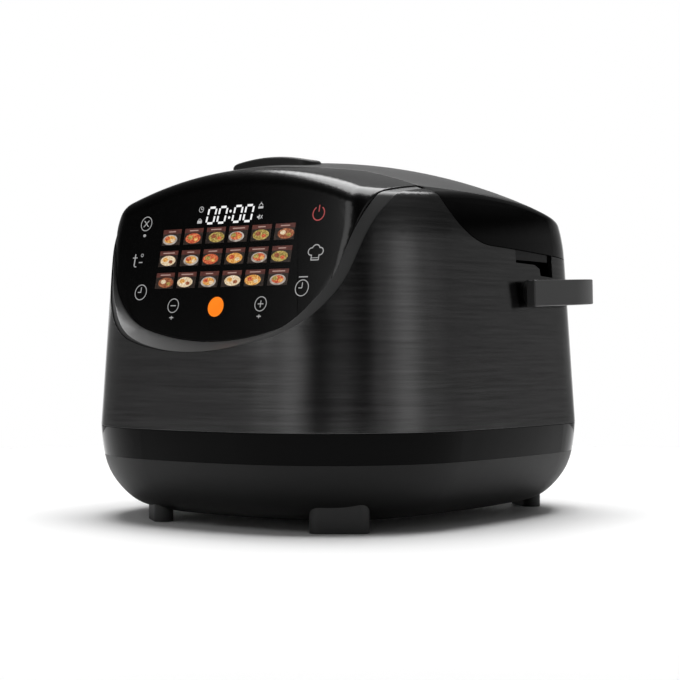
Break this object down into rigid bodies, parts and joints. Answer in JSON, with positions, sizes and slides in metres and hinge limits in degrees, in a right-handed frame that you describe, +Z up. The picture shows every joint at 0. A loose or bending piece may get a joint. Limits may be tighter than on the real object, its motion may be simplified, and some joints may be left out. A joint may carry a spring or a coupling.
{
  "type": "electric multicooker",
  "caption": "Countertop electric multicooker with a rear-hinged lid, tilted touch control panel, removable inner pot and a folding carry handle behind the body.",
  "frame": {"origin": "centre of the whole object's bounding box at the surface that it stands on", "axes": "+Z up, -Y towards the front with the control panel, +X to the right side as seen from the front"},
  "size_m": [0.298, 0.346, 0.2464],
  "materials": {
    "base_plastic": "fine satin moulding",
    "gloss_plastic": "polished black",
    "dark_steel": "dark coated, horizontally brushed",
    "panel_gloss": "polished black panel",
    "trim_plastic": "satin",
    "satin_cover": "satin",
    "inner_plastic": "satin",
    "plate_steel": "black coated sheet",
    "board_green": "solder mask",
    "display": "dark display module",
    "well_steel": "drawn sheet",
    "silicone": "translucent grey silicone",
    "cast_aluminium": "cast and turned",
    "heater_mica": "mica and glass cloth band",
    "pot_coating": "non-stick coated",
    "steel": "bright zinc plated",
    "rubber_feet": "matt",
    "handle_plastic": "satin",
    "clear_plastic": "frosted",
    "button_satin": "satin"
  },
  "bodies": {
    "housing": {"base_shell": "base_plastic", "bottom_plate": "plate_steel", "feet": "rubber_feet", "gloss_band": "gloss_plastic", "outer_wrap": "dark_steel", "upper_housing": "inner_plastic", "panel_trim": "trim_plastic", "control_panel": "panel_gloss", "touch_board": "board_green", "display_module": "display", "power_board": "board_green", "inner_well": "well_steel", "well_ring": "silicone", "heating_plate": "cast_aluminium", "plate_stand": "steel", "side_heater": "heater_mica", "inner_pot": "pot_coating", "sensor_guide": "steel", "sensor_spring": "steel", "power_inlet": "inner_plastic", "cup_holder": "inner_plastic", "hinge_bracket": "steel", "hinge_pin": "steel", "hinge_spring_left": "steel", "hinge_spring_right": "steel", "pivot_boss_right": "inner_plastic", "pivot_boss_left": "inner_plastic", "base_screws": "steel"},
    "sensor": {"sensor_plunger": "cast_aluminium"},
    "lid": {"lid_top_cover": "satin_cover", "lid_side_band": "gloss_plastic", "lid_frame": "inner_plastic", "inner_lid_plate": "well_steel", "lid_gasket": "silicone", "steam_duct": "inner_plastic", "button_frame": "inner_plastic", "button_spring": "steel"},
    "steam_valve": {"steam_valve_cap": "button_satin"},
    "button": {"release_button": "button_satin"},
    "latch": {"latch_bolt": "inner_plastic"},
    "cup": {"condensate_cup": "clear_plastic"},
    "handle": {"carry_handle": "handle_plastic"}
  },
  "joints": [
    {"name": "lid_hinge", "type": "hinge", "parent": "housing", "child": "lid", "pos_m": [0, 0.1334, 0.188], "axis": [-1, 0, 0], "range_deg": [0, 80]},
    {"name": "handle_pivot", "type": "hinge", "parent": "housing", "child": "handle", "pos_m": [0, 0.0234, 0.154], "axis": [1, 0, 0], "range_deg": [0, 90]},
    {"name": "release_button", "type": "slide", "parent": "lid", "child": "button", "axis": [0, 0, 1], "range_m": [-0.003, 0], "stiffness_N_per_m": 500, "deforming": ["button_spring"]},
    {"name": "latch_slide", "type": "slide", "parent": "lid", "child": "latch", "axis": [0, 1, 0], "range_m": [0, 0.003]},
    {"name": "steam_valve_lift", "type": "slide", "parent": "lid", "child": "steam_valve", "axis": [0, 0, 1], "range_m": [0, 0.03]},
    {"name": "cup_slide", "type": "slide", "parent": "housing", "child": "cup", "axis": [0, 1, 0], "range_m": [0, 0.03]},
    {"name": "sensor_travel", "type": "slide", "parent": "housing", "child": "sensor", "axis": [0, 0, 1], "range_m": [-0.003, 0], "stiffness_N_per_m": 400, "deforming": ["sensor_spring"]}
  ],
  "couplings": [
    {"joint": "latch_slide", "follows": "release_button", "ratio": -1}
  ]
}
